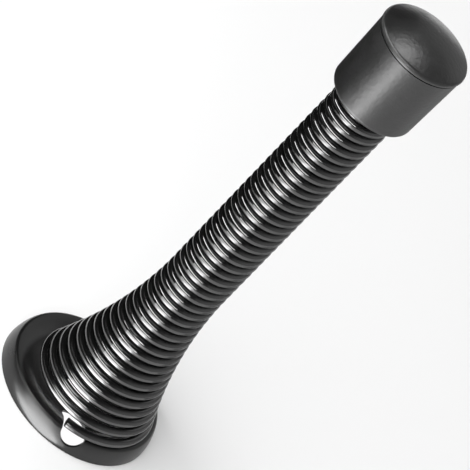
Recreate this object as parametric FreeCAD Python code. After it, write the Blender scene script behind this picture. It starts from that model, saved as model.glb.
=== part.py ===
import FreeCAD, Part
import math
import os

# Spring door stop: a dished base plate, a coil spring with a flared foot and a rubber tip.
# Millimetres. +Z runs along the stop from the wall to the door, and the origin is the centre
# of the base plate's back face, which lies on the wall at z = 0.

OVERALL_LENGTH = 84.4

# Base plate: pressed from sheet steel, with a bulging skirt, a tight crest and a shallow dish
BASE_DIAMETER = 25.4
BASE_HEIGHT = 2.8
SHEET_THICKNESS = 0.4
SKIRT_RADIUS = 6.5
SKIRT_DRAFT = 2.0
CREST_BEND = 0.1
DISH_RADIUS = 6.2
FLOOR_DIAMETER = 7.6
SCREW_HOLE_DIAMETER = 4.5
SLOT_WIDTH = 3.8
SLOT_AZIMUTH = -71.1
SLOT_INNER_END = 5.2
SLOT_END_HEIGHT = 1.08

# Spring: one round wire, wound right-handed, with a foot that flares out on a parabola
WIRE_DIAMETER = 1.42
COIL_DIAMETER = 9.53
TURN_GAP = 0.124
FLARE_HEIGHT = 27.1
SPRING_OFFSET = 1.85
SPRING_OFFSET_AZIMUTH = -46.1
FOOT_INSET = 0.28
END_DIP = 0.2
END_GAP = 0.15
SEAT_GAP = 0.03
NODES_PER_TURN = 4

# Rubber tip: a moulded cup pushed over the spring, with a domed end that overhangs its side
TIP_WALL = 1.615
TIP_TAPER = 0.3
TIP_SIDE_LENGTH = 11.5
TIP_EDGE_RADIUS = 0.85
SEAM_WIDTH = 0.22
SEAM_DEPTH = 0.2
LIP_OVERHANG = 0.084
LIP_SLOPE = -25.0
SHOULDER_RADIUS = 0.6
DOME_SLOPE = 26.0
BORE_DEPTH = 8.8
BORE_CLEARANCE = 0.05

# Lengths and turns this small count as nothing
TINY = 1e-5

wire_radius = WIRE_DIAMETER / 2
coil_radius = COIL_DIAMETER / 2 - wire_radius
pitch = WIRE_DIAMETER + TURN_GAP
bore_radius = COIL_DIAMETER / 2 + BORE_CLEARANCE
tip_mouth = bore_radius + TIP_WALL
tip_side = tip_mouth + TIP_TAPER
lip_angle = math.radians(LIP_SLOPE)
dome_angle = math.radians(DOME_SLOPE)
shoulder_centre = tip_side + LIP_OVERHANG - SHOULDER_RADIUS * math.cos(lip_angle)
dome_radius = SHOULDER_RADIUS + shoulder_centre / math.sin(dome_angle)
shoulder_drop = dome_radius - (dome_radius - SHOULDER_RADIUS) * math.cos(dome_angle)
lip_drop = shoulder_drop - SHOULDER_RADIUS * math.sin(lip_angle)
tip_bottom = OVERALL_LENGTH - lip_drop - SEAM_WIDTH / 2 - TIP_SIDE_LENGTH
base_radius = BASE_DIAMETER / 2
draft_angle = math.radians(SKIRT_DRAFT)
skirt_centre = base_radius - SKIRT_RADIUS * math.cos(draft_angle)
skirt_drop = SKIRT_RADIUS * math.sin(draft_angle)
crest_bend = CREST_BEND + SHEET_THICKNESS
skirt_rise = BASE_HEIGHT - crest_bend + skirt_drop
crest_slope = math.asin(skirt_rise / (SKIRT_RADIUS - crest_bend))
crest_radius = skirt_centre + (SKIRT_RADIUS - crest_bend) * math.cos(crest_slope)
foot_radius = crest_radius - FOOT_INSET - SPRING_OFFSET
up = FreeCAD.Vector(0, 0, 1)
offset_turn = FreeCAD.Rotation(up, SPRING_OFFSET_AZIMUTH)
spring_axis = offset_turn.multVec(FreeCAD.Vector(SPRING_OFFSET, 0, 0))


def at(radius, height):
    """A point of a turned profile, in the XZ plane."""
    return FreeCAD.Vector(radius, 0, height)


def on_circle(centre, radius, degrees):
    """A point of the XZ plane on a circle about centre, from the angle above the +X side."""
    angle = math.radians(degrees)
    return centre + FreeCAD.Vector(radius * math.cos(angle), 0, radius * math.sin(angle))


def arc(centre, radius, first, last):
    """An arc of the XZ plane about centre, between two angles."""
    ends = [on_circle(centre, radius, angle) for angle in (first, (first + last) / 2, last)]
    return Part.Arc(*ends).toShape()


def turned(edges):
    """The solid that a closed profile makes when it turns about the Z axis."""
    return Part.Face(Part.Wire(edges)).revolve(FreeCAD.Vector(), up, 360)


def loop(pieces):
    """A closed profile: the given edges in order, joined by straight lines where they part."""
    edges = []
    for piece, following in zip(pieces, pieces[1:] + pieces[:1]):
        edges.append(piece)
        end = piece.lastVertex(True).Point
        start = following.firstVertex(True).Point
        if end.distanceToPoint(start) > TINY:
            edges.append(Part.makeLine(end, start))
    return edges


def base_plate():
    """The pressed plate: skirt, crest, dish and flat floor in one sheet, with a screw hole and a slot."""
    skirt = at(skirt_centre, -skirt_drop)
    crest = at(crest_radius, BASE_HEIGHT - crest_bend)
    join = math.degrees(crest_slope)
    dish_centre = at(crest_radius, BASE_HEIGHT - DISH_RADIUS)
    floor_radius = FLOOR_DIAMETER / 2
    dish_run = crest_radius - floor_radius
    slope = 2 * math.atan2(BASE_HEIGHT - SHEET_THICKNESS, dish_run)
    foot_arc = dish_run / math.sin(slope) - DISH_RADIUS
    foot_centre = at(floor_radius, SHEET_THICKNESS + foot_arc)
    dish_slope = math.degrees(slope)
    hole = SCREW_HOLE_DIAMETER / 2
    inner_draft = math.degrees(math.asin(skirt_drop / (SKIRT_RADIUS - SHEET_THICKNESS)))

    front = [
        arc(skirt, SKIRT_RADIUS, SKIRT_DRAFT, join),
        arc(crest, crest_bend, join, 90),
        arc(dish_centre, DISH_RADIUS, 90, 90 + dish_slope),
        arc(foot_centre, foot_arc, dish_slope - 90, -90),
        Part.makeLine(at(floor_radius, SHEET_THICKNESS), at(hole, SHEET_THICKNESS)),
    ]
    back = [
        Part.makeLine(at(hole, 0), at(floor_radius, 0)),
        arc(foot_centre, foot_arc + SHEET_THICKNESS, -90, dish_slope - 90),
        arc(dish_centre, DISH_RADIUS - SHEET_THICKNESS, 90 + dish_slope, 90),
        arc(crest, CREST_BEND, 90, join),
        arc(skirt, SKIRT_RADIUS - SHEET_THICKNESS, join, inner_draft),
    ]
    return turned(loop(front + back)).cut(slot_cutter())


def slot_cutter():
    """What the slot takes out: right through the dish, then over the crest and part way down the skirt."""
    half = SLOT_WIDTH / 2
    side = FreeCAD.Vector(0, half, 0)
    along = FreeCAD.Vector(half, 0, 0)
    inner = FreeCAD.Vector(SLOT_INNER_END, 0, 0) + along
    crest = FreeCAD.Vector(crest_radius, 0, 0)
    outline = Part.Wire([
        Part.makeLine(inner - side, crest - side),
        Part.makeLine(crest - side, crest + side),
        Part.makeLine(crest + side, inner + side),
        Part.Arc(inner + side, inner - along, inner - side).toShape(),
    ])
    through_dish = Part.Face(outline).extrude(up * (BASE_HEIGHT + half))
    axis_height = SLOT_END_HEIGHT + half
    over_rim = Part.makeCylinder(half, base_radius, at(crest_radius, axis_height), at(1, 0))
    cutter = through_dish.fuse(over_rim)
    cutter.rotate(FreeCAD.Vector(), up, SLOT_AZIMUTH)
    return cutter


def end_angle():
    """The angle about the spring's axis at which the wire's middle ends, just inside the slot's edge."""
    azimuth = math.radians(SLOT_AZIMUTH)
    along = FreeCAD.Vector(math.cos(azimuth), math.sin(azimuth), 0)
    aside = FreeCAD.Vector(math.sin(azimuth), -math.cos(azimuth), 0)
    line = aside * (SLOT_WIDTH / 2 - END_GAP) - spring_axis
    reach = line.dot(along)
    run = math.sqrt(reach ** 2 - line.dot(line) + foot_radius ** 2) - reach
    end = line + along * run
    return math.atan2(end.y, end.x)


wire_start = end_angle()
slot_turn = SLOT_WIDTH / (2 * math.pi * foot_radius)
spare_turn = wire_radius / (2 * math.pi * foot_radius)
seat_height = BASE_HEIGHT + SEAT_GAP + wire_radius
foot_height = seat_height + END_DIP * (1 - slot_turn) ** 2 - pitch * slot_turn
coil_turns = (tip_bottom + BORE_DEPTH - BORE_CLEARANCE - wire_radius - foot_height) / pitch


def wire_point(turn):
    """The wire's centre, a number of turns up from its lower end."""
    dip = END_DIP * max(0.0, 1 - turn) ** 2
    rise = pitch * turn - dip
    flare = max(0.0, 1 - rise / FLARE_HEIGHT)
    radius = coil_radius + (foot_radius - coil_radius) * flare ** 2
    angle = wire_start + 2 * math.pi * turn
    offset = FreeCAD.Vector(radius * math.cos(angle), radius * math.sin(angle), foot_height + rise)
    return spring_axis + offset


def wire_direction(turn):
    """The way the wire runs there, upwards."""
    return (wire_point(turn + TINY) - wire_point(turn - TINY)).normalize()


def arc_joint(start, start_way, end, end_way):
    """The point where two tangent arcs meet that lead from one place and direction to the next."""
    chord = end - start
    ways = start_way + end_way
    bend = 2 * (1 - start_way.dot(end_way))
    lean = chord.dot(ways)
    reach = (math.sqrt(lean ** 2 + bend * chord.dot(chord)) - lean) / bend
    return (start + end + (start_way - end_way) * reach) * 0.5


def bend_to(circle, start, way, end):
    """The wire's skin along one arc, with the circle and the direction at its end."""
    chord = end - start
    axis = way.cross(chord).normalize()
    inward = axis.cross(way)
    centre = start + inward * (chord.dot(chord) / (2 * chord.dot(inward)))
    angle = math.degrees(2 * way.getAngle(chord))
    skin = circle.revolve(centre, axis, angle)
    moved = circle.copy()
    moved.rotate(centre, axis, angle)
    turned_way = FreeCAD.Rotation(axis, angle).multVec(way)
    return skin, moved, turned_way


def end_trim():
    """What is cut off the wire's end, so that its face runs along the slot's edge."""
    top = (wire_point(0).z + wire_point(1).z) / 2
    edge = END_GAP - SLOT_WIDTH / 2
    block = Part.makeBox(base_radius, WIRE_DIAMETER, top, FreeCAD.Vector(0, edge - WIRE_DIAMETER, 0))
    block.rotate(FreeCAD.Vector(), up, SLOT_AZIMUTH)
    return block


def spring():
    """The coil: a round section carried along pairs of tangent arcs that follow the helix."""
    start = wire_point(-spare_turn)
    way = wire_direction(-spare_turn)
    circle = Part.makeCircle(wire_radius, start, way)
    faces = [Part.Face(Part.Wire(circle))]
    steps = math.ceil((coil_turns - slot_turn) * NODES_PER_TURN)
    for step in range(steps + 1):
        turn = slot_turn + (coil_turns - slot_turn) * step / steps
        end = wire_point(turn)
        joint = arc_joint(start, way, end, wire_direction(turn))
        for target in (joint, end):
            skin, circle, way = bend_to(circle, start, way, target)
            faces.append(skin)
            start = target
    faces.append(Part.Face(Part.Wire(circle)))
    shell = Part.makeShell(faces)
    shell.sewShape()
    return Part.makeSolid(shell).cut(end_trim())


def rubber_tip():
    """The cup over the spring's end: rounded mouth, tapered side, seam, lip and domed face."""
    bore_top = tip_bottom + BORE_DEPTH
    seam = tip_bottom + TIP_SIDE_LENGTH
    groove = tip_side - SEAM_DEPTH
    edge_centre = at(tip_mouth - TIP_EDGE_RADIUS, tip_bottom + TIP_EDGE_RADIUS)
    shoulder = at(shoulder_centre, OVERALL_LENGTH - shoulder_drop)
    profile = [
        Part.makeLine(at(0, bore_top), at(bore_radius, bore_top)),
        Part.makeLine(at(bore_radius, tip_bottom), at(edge_centre.x, tip_bottom)),
        arc(edge_centre, TIP_EDGE_RADIUS, -90, 0),
        Part.makeLine(at(tip_side, seam - SEAM_WIDTH / 2), at(groove, seam - SEAM_WIDTH / 2)),
        Part.makeLine(at(groove, seam - SEAM_WIDTH / 2), at(groove, seam + SEAM_WIDTH / 2)),
        arc(shoulder, SHOULDER_RADIUS, LIP_SLOPE, 90 - DOME_SLOPE),
        arc(at(0, OVERALL_LENGTH - dome_radius), dome_radius, 90 - DOME_SLOPE, 90),
    ]
    tip = turned(loop(profile))
    tip.translate(spring_axis)
    return tip


os.makedirs("parts", exist_ok=True)
for name, build in (("base_plate", base_plate), ("spring", spring), ("rubber_tip", rubber_tip)):
    build().exportStep(f"parts/{name}.step")
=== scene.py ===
import math

import bpy
from mathutils import Matrix, Vector

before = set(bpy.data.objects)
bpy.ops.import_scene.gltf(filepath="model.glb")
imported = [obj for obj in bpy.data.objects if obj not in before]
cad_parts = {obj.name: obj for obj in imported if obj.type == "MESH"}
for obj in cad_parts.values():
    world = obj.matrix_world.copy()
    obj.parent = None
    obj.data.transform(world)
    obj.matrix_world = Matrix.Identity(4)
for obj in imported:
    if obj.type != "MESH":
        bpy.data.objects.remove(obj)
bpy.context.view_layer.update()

# Camera: where it stands round the object, in metres and degrees, and its focal length in the photo's pixels
AIM = Vector((0.00066, 0.0, 0.03872))
CAMERA_DISTANCE = 0.5562
CAMERA_ELEVATION = 35.08
CAMERA_ROLL = 44.0
FOCAL_PIXELS = 4059.6
PHOTO_WIDTH = 470
SENSOR_WIDTH = 36.0
CLIP_START = 0.01

# Materials: where in the noise a patchy value is at its dark or smooth end, and at its other end
PATCH_STOPS = (0.3, 0.7)
NOISE_DETAIL = 4.0

# Room: how far to the right a direction points, and the room's grey there
ROOM_STOPS = ((0.0, 0.01), (0.2, 0.02), (0.9, 0.5))

# Floor, and the disc between it and the plate, in metres. The disc glows white: painted light where the
# plate shades the floor
FLOOR_SPAN = (-3.0, 3.0)
FLOOR_DROP = 0.00005
FLOOR_GREY = 0.86
FLOOR_GLOW = 0.06
DISC_RADIUS = 0.0112
DISC_SIDES = 64
DISC_DROP = FLOOR_DROP / 2

# Cards that only reflections show: their greys, and their places in metres
BLACK_CARD = 0.02
GREY_CARD = 0.4
FLAG_X = -0.055
FLAG_Y = (-0.07, 0.15)
FLAG_HEIGHT = 0.06
CARD_LIFT = 0.0001
LEFT_CARD_X = (FLAG_X, -0.032)
LEFT_CARD_Y = (-0.02, 0.15)
RIGHT_CARD_X = (0.02, 0.09)
RIGHT_CARD_Y = (0.0, 0.15)

# Light panels on the floor, in metres. A narrow one lies just over a wide one, so that both are seen
NEAR_PANEL_Y = (-0.03, -0.0131)
FAR_PANEL_Y = (-0.3, -0.03)
WIDE_PANEL_HEIGHT = -0.00002
NARROW_PANEL_HEIGHT = -0.00001


def tree_of(owner):
    """The emptied node tree of a material or a world."""
    owner.use_nodes = True
    owner.node_tree.nodes.clear()
    return owner.node_tree


def node(tree, kind, links=(), **values):
    """A new node: values set its own settings, and links joins inputs to sockets or numbers."""
    made = tree.nodes.new(kind)
    for key, value in values.items():
        setattr(made, key, value)
    for name, value in dict(links).items():
        if isinstance(value, bpy.types.NodeSocket):
            tree.links.new(value, made.inputs[name])
        else:
            made.inputs[name].default_value = value
    return made


def grey(value):
    """A grey as a colour."""
    return (value, value, value, 1)


def ramp(tree, factor, stops):
    """A ramp through greys, given as (position, grey)."""
    made = node(tree, "ShaderNodeValToRGB", {"Fac": factor})
    elements = made.color_ramp.elements
    while len(elements) < len(stops):
        elements.new(0.5)
    for element, (position, value) in zip(elements, stops):
        element.position = position
        element.color = grey(value)
    return made.outputs["Color"]


def noise(tree, scale):
    """Noise in object space. Scale is in features per metre."""
    where = node(tree, "ShaderNodeTexCoord").outputs["Object"]
    made = node(tree, "ShaderNodeTexNoise", {"Vector": where, "Scale": scale, "Detail": NOISE_DETAIL})
    return made.outputs["Fac"]


def surface(name, shades, rough, patch_scale, grain_scale, grain_depth, ior):
    """A coated surface: patchy colour and roughness, with a fine grain raised from it."""
    material = bpy.data.materials.new(name)
    tree = tree_of(material)
    patches = noise(tree, patch_scale)
    grain = noise(tree, grain_scale)
    bump = node(tree, "ShaderNodeBump", {"Height": grain, "Strength": 1.0, "Distance": grain_depth})
    shader = node(tree, "ShaderNodeBsdfPrincipled", {
        "Base Color": ramp(tree, patches, list(zip(PATCH_STOPS, shades))),
        "Roughness": ramp(tree, patches, list(zip(PATCH_STOPS, rough))),
        "Normal": bump.outputs["Normal"],
        "IOR": ior,
    })
    node(tree, "ShaderNodeOutputMaterial", {"Surface": shader.outputs["BSDF"]})
    return material


def paint(name, material):
    """Gives a CAD node its material."""
    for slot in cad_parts[name].material_slots:
        slot.material = material


def card(name, corners, shader_of):
    """A flat stage piece through the given corners, with a shader that is built in its own tree."""
    mesh = bpy.data.meshes.new(name)
    mesh.from_pydata(corners, [], [tuple(range(len(corners)))])
    piece = bpy.data.objects.new(name, mesh)
    bpy.context.collection.objects.link(piece)
    material = bpy.data.materials.new(name)
    tree = tree_of(material)
    node(tree, "ShaderNodeOutputMaterial", {"Surface": shader_of(tree)})
    mesh.materials.append(material)
    return piece


def level(x, y, height):
    """The corners of a level rectangle."""
    left, right = x
    front, back = y
    return [(left, front, height), (right, front, height), (right, back, height), (left, back, height)]


def matte(tree, value):
    """A matte grey."""
    return node(tree, "ShaderNodeBsdfDiffuse", {"Color": grey(value)}).outputs["BSDF"]


def white_light(tree, strength):
    """White light of a constant strength, or of one that a socket gives."""
    return node(tree, "ShaderNodeEmission", {"Color": grey(1), "Strength": strength}).outputs["Emission"]


def seen_directly(tree):
    """1 for what the eye sees, directly or in a reflection, and 0 for light on matte surfaces."""
    path = node(tree, "ShaderNodeLightPath")
    seen = node(tree, "ShaderNodeMath", {
        0: path.outputs["Is Camera Ray"],
        1: path.outputs["Is Glossy Ray"],
    }, operation="MAXIMUM")
    return seen.outputs[0]


def floor_shader(tree):
    """A pale matte floor that also glows a little to the eye, so that it is near white."""
    share = node(tree, "ShaderNodeMath", {0: seen_directly(tree), 1: FLOOR_GLOW}, operation="MULTIPLY")
    glow = white_light(tree, share.outputs[0])
    both = node(tree, "ShaderNodeAddShader", {0: matte(tree, FLOOR_GREY), 1: glow})
    return both.outputs["Shader"]


def floor():
    """The pale floor, and a disc under the plate that glows white, as painted light in the plate's shade,
    and shows through its slot and its screw hole.
    """
    card("floor", level(FLOOR_SPAN, FLOOR_SPAN, -FLOOR_DROP), floor_shader)
    turns = [math.tau * side / DISC_SIDES for side in range(DISC_SIDES)]
    rim = [(DISC_RADIUS * math.cos(turn), DISC_RADIUS * math.sin(turn), -DISC_DROP) for turn in turns]
    # The disc glows at full white: painted light where the plate shades the floor
    card("disc", rim, lambda tree: white_light(tree, 1.0))


def mirrored_card(name, corners, value):
    """A matte grey card that only reflections show."""
    piece = card(name, corners, lambda tree: matte(tree, value))
    piece.visible_camera = False
    piece.visible_diffuse = False
    piece.visible_shadow = False


def flags():
    """Cards that keep the pale floor out of the object's sides: black on the left, grey on the right."""
    near, far = FLAG_Y
    standing = [
        (FLAG_X, near, 0),
        (FLAG_X, far, 0),
        (FLAG_X, far, FLAG_HEIGHT),
        (FLAG_X, near, FLAG_HEIGHT),
    ]
    mirrored_card("flag", standing, BLACK_CARD)
    mirrored_card("left_card", level(LEFT_CARD_X, LEFT_CARD_Y, CARD_LIFT), BLACK_CARD)
    mirrored_card("right_card", level(RIGHT_CARD_X, RIGHT_CARD_Y, CARD_LIFT), GREY_CARD)


def studio():
    """The room: dark on the left and overhead, grey on the right, and white to the camera."""
    world = bpy.data.worlds.new("studio")
    bpy.context.scene.world = world
    tree = tree_of(world)
    path = node(tree, "ShaderNodeLightPath")
    direction = node(tree, "ShaderNodeTexCoord").outputs["Generated"]
    side = node(tree, "ShaderNodeSeparateXYZ", {"Vector": direction}).outputs["X"]
    shown = node(tree, "ShaderNodeMixRGB", {
        "Fac": path.outputs["Is Camera Ray"],
        "Color1": ramp(tree, side, ROOM_STOPS),
        "Color2": grey(1),
    })
    background = node(tree, "ShaderNodeBackground", {"Color": shown.outputs["Color"], "Strength": 1.0})
    node(tree, "ShaderNodeOutputWorld", {"Surface": background.outputs["Background"]})


def towards(azimuth, elevation):
    """A direction from the object: azimuth 0 is the camera's side and grows to its right."""
    turn = math.radians(azimuth)
    lift = math.radians(elevation)
    return Vector((math.sin(turn) * math.cos(lift), -math.cos(turn) * math.cos(lift), math.sin(lift)))


def soft_box(name, width, height, radiance):
    """A rectangular light that the camera doesn't see. Radiance 1 would look white."""
    light = bpy.data.lights.new(name, "AREA")
    light.shape = "RECTANGLE"
    light.size = width
    light.size_y = height
    light.energy = radiance * math.pi * width * height
    box = bpy.data.objects.new(name, light)
    bpy.context.collection.objects.link(box)
    box.visible_camera = False
    return box


def lamp(name, azimuth, elevation, distance, width, height, radiance):
    """A soft box that faces the object, in degrees and metres."""
    box = soft_box(name, width, height, radiance)
    way = towards(azimuth, elevation)
    box.location = AIM + way * distance
    box.rotation_euler = way.to_track_quat("Z", "Y").to_euler()


def panel(name, x, y, height, radiance):
    """A soft box that lies on the floor in front of the object and faces up, in metres."""
    left, right = x
    front, back = y
    box = soft_box(name, right - left, back - front, radiance)
    box.location = ((left + right) / 2, (front + back) / 2, height)
    box.rotation_euler = (math.pi, 0, 0)


def camera():
    """The photograph's view, rolled so that the object leans to the upper right."""
    data = bpy.data.cameras.new("camera")
    data.sensor_width = SENSOR_WIDTH
    data.lens = FOCAL_PIXELS / PHOTO_WIDTH * SENSOR_WIDTH
    data.clip_start = CLIP_START
    eye = bpy.data.objects.new("camera", data)
    bpy.context.collection.objects.link(eye)
    back = towards(0, CAMERA_ELEVATION)
    right = Vector((1, 0, 0))
    upright = Matrix((right, back.cross(right), back)).transposed().to_4x4()
    roll = Matrix.Rotation(math.radians(CAMERA_ROLL), 4, "Z")
    eye.matrix_world = Matrix.Translation(AIM + back * CAMERA_DISTANCE) @ upright @ roll
    bpy.context.scene.camera = eye


paint("spring", surface(
    "gloss_black",
    shades=(0.002, 0.004),
    rough=(0.09, 0.13),
    patch_scale=300,
    grain_scale=2500,
    grain_depth=0.000002,
    ior=1.92,
))
paint("base_plate", surface(
    "satin_black",
    shades=(0.003, 0.006),
    rough=(0.27, 0.33),
    patch_scale=250,
    grain_scale=2200,
    grain_depth=0.0000015,
    ior=1.56,
))
paint("rubber_tip", surface(
    "rubber",
    shades=(0.006, 0.010),
    rough=(0.33, 0.39),
    patch_scale=500,
    grain_scale=1800,
    grain_depth=0.00004,
    ior=1.64,
))

floor()
studio()

# The key gives each strand a thin line, and the top box lights the tip's dome
lamp("key", azimuth=-42, elevation=37, distance=1.0, width=2.4, height=0.22, radiance=11.5)
lamp("rear", azimuth=165, elevation=28, distance=0.6, width=0.5, height=0.5, radiance=0.45)
lamp("top", azimuth=-126, elevation=77, distance=0.6, width=0.32, height=0.18, radiance=7.5)

# The low strip behind shows in the dish, and the low sweep in front on the skirt
lamp("strip", azimuth=196, elevation=-1.5, distance=0.6, width=0.5, height=0.035, radiance=6)
lamp("sweep", azimuth=-18, elevation=-2.05, distance=0.3, width=0.28, height=0.056, radiance=7.5)

# The near panels show on the skirt, and the far ones as a band under each strand's line
panel("panel_near_wide", x=(-0.014, 0.005), y=NEAR_PANEL_Y, height=WIDE_PANEL_HEIGHT, radiance=4)
panel("panel_near_narrow", x=(-0.0095, 0.0035), y=NEAR_PANEL_Y, height=NARROW_PANEL_HEIGHT, radiance=6.5)
panel("panel_wide", x=(-0.042, 0.018), y=FAR_PANEL_Y, height=WIDE_PANEL_HEIGHT, radiance=3.2)
panel("panel_narrow", x=(-0.025, 0.005), y=FAR_PANEL_Y, height=NARROW_PANEL_HEIGHT, radiance=3.4)

flags()
camera()
bpy.context.scene.view_settings.view_transform = "Standard"
